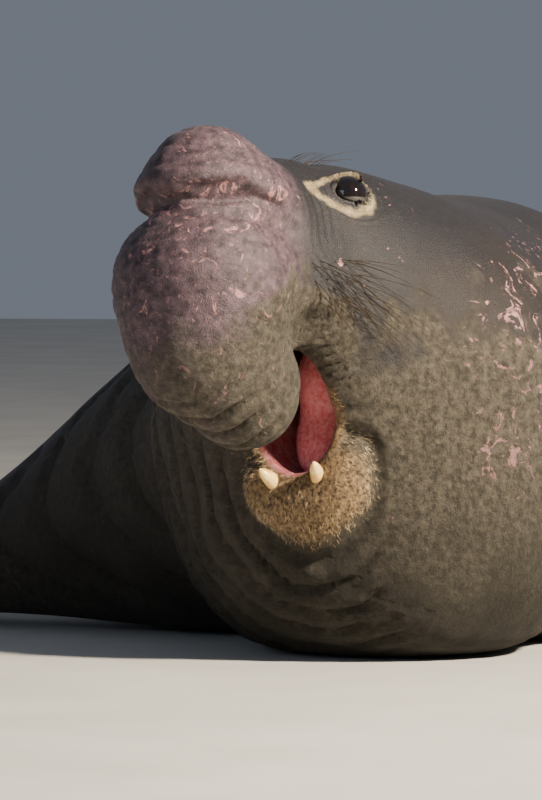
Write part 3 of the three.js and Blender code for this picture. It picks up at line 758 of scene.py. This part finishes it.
# Worn and stained enamel: patchy yellow ivory with a soft shine
TOOTH_ENAMEL = plain_material("worn_tooth_enamel", "#e0a03c", "#f6dc96", 18, 0.3, coat=0.3, bump_mm=0.3)
# Dry horn: dark grey brown with a dull shine
NAIL_HORN = plain_material("nail_horn", "#1d1a18", "#3b342e", 9, 0.4, bump_mm=0.3)
# Short coarse hair: tawny, with dark and light tufts
CHIN_FUR = plain_material("chin_fur", "#33261b", "#dcbd90", 14, 0.6, sheen=0.2)
# Stiff smooth bristle: thin dark lines with a faint shine
WHISKER = plain_material("whisker_horn", "#17130f", "#4a3b2a", 30, 0.4)

FLESH_NODES = [
    "torso_front", "torso_middle", "torso_rear", "tail", "hind_flipper_right", "hind_flipper_left",
    "foreflipper_right", "foreflipper_left", "head", "neck", "proboscis", "lower_jaw"]
SKIN_LOW, SKIN_HIGH = (-3560, -1240, -30), (1330, 1260, 920)     # corners of the meshed space
SKIN_CELL = (27, 27, 13)


def build_skin():
    points, tris = surface(flesh, SKIN_LOW, SKIN_HIGH, SKIN_CELL)
    points = settle(flesh, points, 9)
    for _ in range(6):
        points, tris, count = split_long(points, tris, body_target)
        if not count:
            break
        points = settle(flesh, points, 6, 1)
    points = settle(flesh, points, 5, 2)
    normal = slope_of(flesh, points)
    normal /= np.maximum(np.linalg.norm(normal, axis=1, keepdims=True), 1e-6)
    moved = points + normal * fine_relief(points)[:, None]
    moved[:, 2] = np.maximum(moved[:, 2], 0.5)
    piece = mesh_object("skin", moved, tris, HIDE)
    masks = region_masks(points)
    for i, name in enumerate(MASKS):
        paint(piece, name, masks[:, i])
    print("skin triangles", len(tris), "points", len(points))
    return piece, moved, tris


skin, skin_points, skin_tris = build_skin()
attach(skin, "root")
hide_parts(*FLESH_NODES)


def strand_tree(material, steps):
    """Geometry Nodes: a thin three-sided strand at each root, aimed and sized by the root's own values."""
    tree = bpy.data.node_groups.new("strands", "GeometryNodeTree")
    face = tree.interface
    face.new_socket("Roots", in_out="INPUT", socket_type="NodeSocketGeometry")
    for label in ("Radius", "Bend"):
        face.new_socket(label, in_out="INPUT", socket_type="NodeSocketFloat")
    face.new_socket("Mesh", in_out="OUTPUT", socket_type="NodeSocketGeometry")
    given = add(tree, "NodeGroupInput")

    def stored(name, kind):
        return add(tree, "GeometryNodeInputNamedAttribute", {"data_type": kind, "Name": name}).outputs[0]

    cone = add(tree, "GeometryNodeMeshCone", {"fill_type": "NONE", "Vertices": 3, "Side Segments": steps,
                                               "Radius Top": 0.12, "Radius Bottom": 1.0, "Depth": 1.0})
    place = add(tree, "GeometryNodeInputPosition").outputs[0]
    height = add(tree, "ShaderNodeSeparateXYZ", {}, {0: place}).outputs["Z"]
    square = add(tree, "ShaderNodeMath", {"operation": "MULTIPLY"}, {0: height, 1: height}).outputs[0]
    size_ratio = add(tree, "ShaderNodeMath", {"operation": "DIVIDE"},
                     {0: given.outputs["Bend"], 1: given.outputs["Radius"]}).outputs[0]
    lean = add(tree, "ShaderNodeMath", {"operation": "MULTIPLY"}, {0: square, 1: size_ratio}).outputs[0]
    shift = add(tree, "ShaderNodeCombineXYZ", {}, {"X": lean}).outputs[0]
    bent = add(tree, "GeometryNodeSetPosition", {}, {"Geometry": cone.outputs["Mesh"], "Offset": shift})
    aim = add(tree, "FunctionNodeAlignRotationToVector", {"axis": "Z"},
              {"Vector": stored("aim", "FLOAT_VECTOR")})
    roll = add(tree, "FunctionNodeAlignRotationToVector", {"axis": "X", "pivot_axis": "Z"},
               {"Rotation": aim.outputs[0], "Vector": stored("lie", "FLOAT_VECTOR")})
    wide = add(tree, "ShaderNodeCombineXYZ", {}, {
        "X": given.outputs["Radius"], "Y": given.outputs["Radius"], "Z": stored("size", "FLOAT")})
    put = add(tree, "GeometryNodeInstanceOnPoints", {}, {
        "Points": given.outputs["Roots"], "Instance": bent.outputs[0],
        "Rotation": roll.outputs[0], "Scale": wide.outputs[0]})
    real = add(tree, "GeometryNodeRealizeInstances", {}, {0: put.outputs[0]})
    dressed = add(tree, "GeometryNodeSetMaterial", {"Material": material}, {"Geometry": real.outputs[0]})
    add(tree, "NodeGroupOutput", {}, {0: dressed.outputs[0]})
    return tree


STRAND_PATCH = 0.003                 # side of a strand's patch on the map


def strands(name, roots, aim, lie, size_mm, radius_mm, bend_mm, unwrap, material, steps):
    """Grows strands from root points. Each strand's UVs are one small patch at its root's own place."""
    mesh = bpy.data.meshes.new(name + "_roots")
    mesh.vertices.add(len(roots))
    mesh.vertices.foreach_set("co", (roots * MM).astype(np.float32).ravel())
    for label, value in (("aim", aim), ("lie", lie)):
        column = mesh.attributes.new(label, "FLOAT_VECTOR", "POINT")
        column.data.foreach_set("vector", value.astype(np.float32).ravel())
    for label, value in (("size", size_mm * MM), ("root_u", unwrap[:, 0]), ("root_v", unwrap[:, 1])):
        mesh.attributes.new(label, "FLOAT", "POINT").data.foreach_set("value", value.astype(np.float32))
    source = bpy.data.objects.new(name + "_roots", mesh)
    bpy.context.scene.collection.objects.link(source)
    tree = strand_tree(material, steps)
    grow = source.modifiers.new("grow", "NODES")
    grow.node_group = tree
    for item in tree.interface.items_tree:
        if item.in_out == "INPUT" and item.name in ("Radius", "Bend"):
            grow[item.identifier] = (radius_mm if item.name == "Radius" else bend_mm) * MM
    bpy.context.view_layer.update()
    plain = bpy.data.meshes.new_from_object(source.evaluated_get(bpy.context.evaluated_depsgraph_get()))
    source.modifiers.remove(grow)
    bpy.data.objects.remove(source)
    plain.name = name
    piece = bpy.data.objects.new(name, plain)
    bpy.context.scene.collection.objects.link(piece)
    spot = [np.empty(len(plain.vertices), np.float32) for _ in range(2)]
    for label, values in zip(("root_u", "root_v"), spot):
        plain.attributes[label].data.foreach_get("value", values)
    corner = np.empty(len(plain.loops), np.int32)
    plain.loops.foreach_get("vertex_index", corner)
    for layer in list(plain.uv_layers):
        plain.uv_layers.remove(layer)
    uv = np.stack([v[corner] for v in spot], 1)
    turn = np.arange(len(corner)) % 4
    uv += STRAND_PATCH * np.stack([(turn == 1) | (turn == 2), turn >= 2], 1)
    plain.uv_layers.new(name="OFBake").data.foreach_set("uv", uv.astype(np.float32).ravel())
    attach(piece, "root")
    print(name, len(roots), "strands", sum(len(f.vertices) - 2 for f in plain.polygons), "triangles")
    return piece


def unit(v):
    return v / np.maximum(np.linalg.norm(v, axis=1, keepdims=True), 1e-6)


def unwrap_head(p):
    """Place on an unwrap of the head: round its long axis, and along it."""
    h = local(HEAD, p)
    turn = np.arctan2(h[:, 1], -h[:, 2] - 200) / (2 * math.pi) + 0.5
    along = np.clip((h[:, 0] + 500) / 1000, 0, 1)
    return np.stack([0.01 + 0.97 * turn, 0.01 + 0.97 * along], 1)


def scatter(weight, spacing_mm, seed):
    """Root points on the skin, as many in each triangle as its area and weight ask for."""
    rng = np.random.default_rng(seed)
    tri = skin_points[skin_tris]
    middle = tri.mean(axis=1)
    chance = weight(middle)
    area = np.linalg.norm(np.cross(tri[:, 1] - tri[:, 0], tri[:, 2] - tri[:, 0]), axis=1) / 2
    wanted = chance * area / spacing_mm ** 2
    pick = np.repeat(np.arange(len(tri)), rng.poisson(wanted))
    a, b = rng.random((2, len(pick), 1))
    flip = a + b > 1
    a, b = np.where(flip, 1 - a, a), np.where(flip, 1 - b, b)
    at = tri[pick, 0] + a * (tri[pick, 1] - tri[pick, 0]) + b * (tri[pick, 2] - tri[pick, 0])
    normal = unit(np.cross(tri[pick, 1] - tri[pick, 0], tri[pick, 2] - tri[pick, 0]))
    return at, normal, rng


def lip_coat():
    """Short fur on the lower lip, combed away from the mouth."""
    def weight(p):
        q = local(JAW, p)
        return region_masks(p)[:, MASKS.index("lip_fur")] * ramp(q[:, 0], 60, 110)

    at, normal, rng = scatter(weight, 3.0, 5)
    away = slope_of(lambda s: mouth(*head_and_jaw(s)), at)
    lie = away - (away * normal).sum(1, keepdims=True) * normal
    lie = unit(unit(lie) + 0.35 * rng.normal(size=lie.shape))
    aim = unit(lie + 0.38 * normal)
    size = rng.uniform(6, 13, len(at))
    strands("chin_fur_coat", at - 1.5 * normal, aim, -normal, size, 0.55, 3.5, unwrap_head(at), CHIN_FUR, 2)


def long_hairs(name, starts, aims, size, radius_mm, bend_mm, seed):
    rng = np.random.default_rng(seed)
    at = world(HEAD, starts)
    at = settle(flesh, at.astype(np.float32), 90, 6)
    normal = unit(slope_of(flesh, at))
    aim = unit(unit(np.asarray(aims) @ HEAD[1]) + 0.22 * rng.normal(size=at.shape) + 0.35 * normal)
    fall = np.tile(np.array([[0.0, 0.0, -1.0]]), (len(at), 1)) - 0.4 * normal
    strands(name, at - 2 * normal, aim, fall, size, radius_mm, bend_mm, unwrap_head(at), WHISKER, 7)


def whiskers_and_brows():
    rng = np.random.default_rng(8)
    starts, aims, size = [], [], []
    for side in (1, -1):
        for row in range(6):
            for column in range(7):
                starts.append((150 - 16 * column - 5 * row, side * 175, -120 - 19 * row + rng.normal() * 4))
                aims.append((-0.65 - 0.05 * column, side * 0.55, -0.35 - 0.08 * row))
                size.append(70 + 14 * column + rng.uniform(0, 30))
    long_hairs("whiskers", starts, aims, np.array(size), 0.8, 30, 9)
    starts, aims, size = [], [], []
    for side in (1, -1):
        for i in range(16):
            starts.append((75 - 8.5 * i, side * (74 - 1.2 * i), 120))
            aims.append((-0.8, side * 0.25, 0.5 - 0.03 * i))
            size.append(rng.uniform(55, 105))
    long_hairs("brow_hairs", starts, aims, np.array(size), 0.75, 26, 10)


def small_form(name, form, low, high, cell, material, node):
    points, tris = surface(form, low, high, (cell,) * 3)
    points = settle(form, points.astype(np.float32), cell, 3)
    piece = mesh_object(name, points, tris, material)
    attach(piece, "root")
    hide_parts(node)


def tongue_form(p):
    q = local(JAW, p)
    form = join(egg(q, (128, 2, -8), (120, 50, 31)), egg(q, (55, 2, 22), (88, 54, 50)), 30)
    groove = np.exp(-((q[:, 1] - 2) / 7) ** 2) * ramp(q[:, 0], 20, 90)
    return form + 3.5 * groove + 0.8 * noise(p, 16, 31)


def tooth_form(side):
    """A blunt curved canine, thick at the root, that leans outwards."""
    def form(p):
        q = local(JAW, p) - np.array((CANINE_AT[0], side * CANINE_AT[1], CANINE_AT[2]), np.float32)
        t = np.clip((q[:, 2] + 20) / 70, 0, 1)
        bow = side * (9 * t + 5 * t * t) - side * 3
        radius = 15 * np.sqrt(np.maximum(1 - t ** 2.6, 0.02))
        off = np.hypot(q[:, 0] - 3 * t, (q[:, 1] - bow) * 1.12)
        return np.maximum(off - radius, np.abs(q[:, 2] - 15) - 36)
    return form


def finer_parts():
    middle = world(JAW, (100, 0, 10))
    small_form("tongue_skin", tongue_form, middle - 190, middle + 190, 7, TONGUE_WET, "tongue")
    for side, word in ((1, "left"), (-1, "right")):
        at = world(JAW, (CANINE_AT[0], side * CANINE_AT[1], CANINE_AT[2] + 12))
        small_form(f"tooth_{word}", tooth_form(side), at - 45, at + 45, 2.6, TOOTH_ENAMEL,
                   f"lower_canine_{word}")
        at = world(HEAD, (EYE_AT[0], side * EYE_AT[1], EYE_AT[2]))
        small_form(f"eyeball_{word}", lambda p, c=at: np.linalg.norm(p - c, axis=1) - EYE_RADIUS,
                   at - 36, at + 36, 3.1, EYE_WET, f"eye_{word}")


CLAW_LENGTH, CLAW_RADIUS = 30, 8.5
CLAW_SET_BACK, CLAW_HEIGHT = 26, 9.0             # root's place behind the digit's end and above it


def claws():
    """The foreflippers' five claws each: tapered, hooked, on top of the digits' ends."""
    sides, rows = 8, 6
    points, faces = [], []
    for place, digits, reach, spread, _ in FLIPPERS[:2]:
        for i, length in enumerate(digits):
            angle = math.radians(spread * (i - 2))
            ahead = np.array([math.cos(angle), math.sin(angle) * DIGIT_FAN, 0])
            tip = ahead * (length * reach - CLAW_SET_BACK) + np.array([0, 0, CLAW_HEIGHT])
            sideways = np.array([-ahead[1], ahead[0], 0])
            start = len(points)
            for row in range(rows):
                t = row / (rows - 1)
                middle = tip + ahead * CLAW_LENGTH * t + np.array([0, 0, 5 * t - 12 * t * t])
                radius = CLAW_RADIUS * (1 - t) ** 0.6 + 0.4
                for k in range(sides):
                    turn = 2 * math.pi * k / sides
                    ring = sideways * math.cos(turn) + np.array([0, 0, 0.7 * math.sin(turn)])
                    points.append(world(place, middle + radius * ring))
            for row in range(rows - 1):
                for k in range(sides):
                    a, b = start + row * sides + k, start + row * sides + (k + 1) % sides
                    faces.append((a, b, b + sides, a + sides))
    piece = mesh_object("claws", np.array(points), np.array(faces), NAIL_HORN)
    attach(piece, "root")


lip_coat()
claws()
whiskers_and_brows()
finer_parts()

# Floor, lights and camera
PIXEL_M = 0.0016                     # real width of a photo pixel at the head
CAMERA_DISTANCE_M = 10.0
CAMERA_HEIGHT_M = 0.80
TORSO_HEADING = 12                   # degrees between the spine and the line to the camera
VIEW_POINT_M = (0.7585, 0.039)       # where that line crosses the head
PHOTO_ROWS = 800
CENTRE_COLUMN, LEVEL_ROW = 271, 400
FLOOR_ROW, SPINE_COLUMN = 660, 350

ACROSS = np.array([-math.sin(math.radians(TORSO_HEADING)), math.cos(math.radians(TORSO_HEADING)), 0])
TOWARDS = np.array([math.cos(math.radians(TORSO_HEADING)), math.sin(math.radians(TORSO_HEADING)), 0])


def from_camera(right, up, out):
    """A place in metres from the floor under the view point, as the camera sees it."""
    return np.array([*VIEW_POINT_M, 0]) + right * ACROSS + out * TOWARDS + np.array([0, 0, up])


def floor_and_lights():
    bpy.ops.mesh.primitive_plane_add(size=40)
    ground = bpy.context.object
    ground.name = "floor"
    ground.data.materials.append(plain_material("pale_floor", "#b9b6b0", "#c6c3bd", 400, 0.8))
    studio = bpy.data.worlds.new("studio")
    bpy.context.scene.world = studio
    studio.use_nodes = True
    studio.node_tree.nodes["Background"].inputs[0].default_value = linear("#c0cadb")
    studio.node_tree.nodes["Background"].inputs[1].default_value = 0.3
    for name, at, size, power, colour in (
            ("key", from_camera(4.4, 3.7, 3.0), 0.6, 1750, "#fff0d8"),
            ("fill", from_camera(-4.0, 2.2, 5.0), 3.0, 60, "#c9d8ee")):
        light = bpy.data.lights.new(name, "AREA")
        light.size = size
        light.energy = power
        light.color = linear(colour)[:3]
        lamp = bpy.data.objects.new(name, light)
        bpy.context.scene.collection.objects.link(lamp)
        lamp.location = at
        look(lamp, from_camera(-0.1, 0.4, 0))


def look(thing, target):
    line = Vector(target) - Vector(thing.location)
    thing.rotation_euler = line.to_track_quat("-Z", "Y").to_euler()


def camera():
    side = (CENTRE_COLUMN - SPINE_COLUMN) * PIXEL_M
    target = from_camera(side, (FLOOR_ROW - LEVEL_ROW) * PIXEL_M, 0)
    eye = from_camera(side, CAMERA_HEIGHT_M, CAMERA_DISTANCE_M)
    lens = bpy.data.cameras.new("camera")
    lens.sensor_fit = "VERTICAL"
    lens.sensor_height = 24
    lens.lens = np.linalg.norm(eye - target) / PIXEL_M / PHOTO_ROWS * lens.sensor_height
    lens.clip_end = 100
    view = bpy.data.objects.new("camera", lens)
    bpy.context.scene.collection.objects.link(view)
    view.location = eye
    look(view, target)
    bpy.context.scene.camera = view


floor_and_lights()
camera()
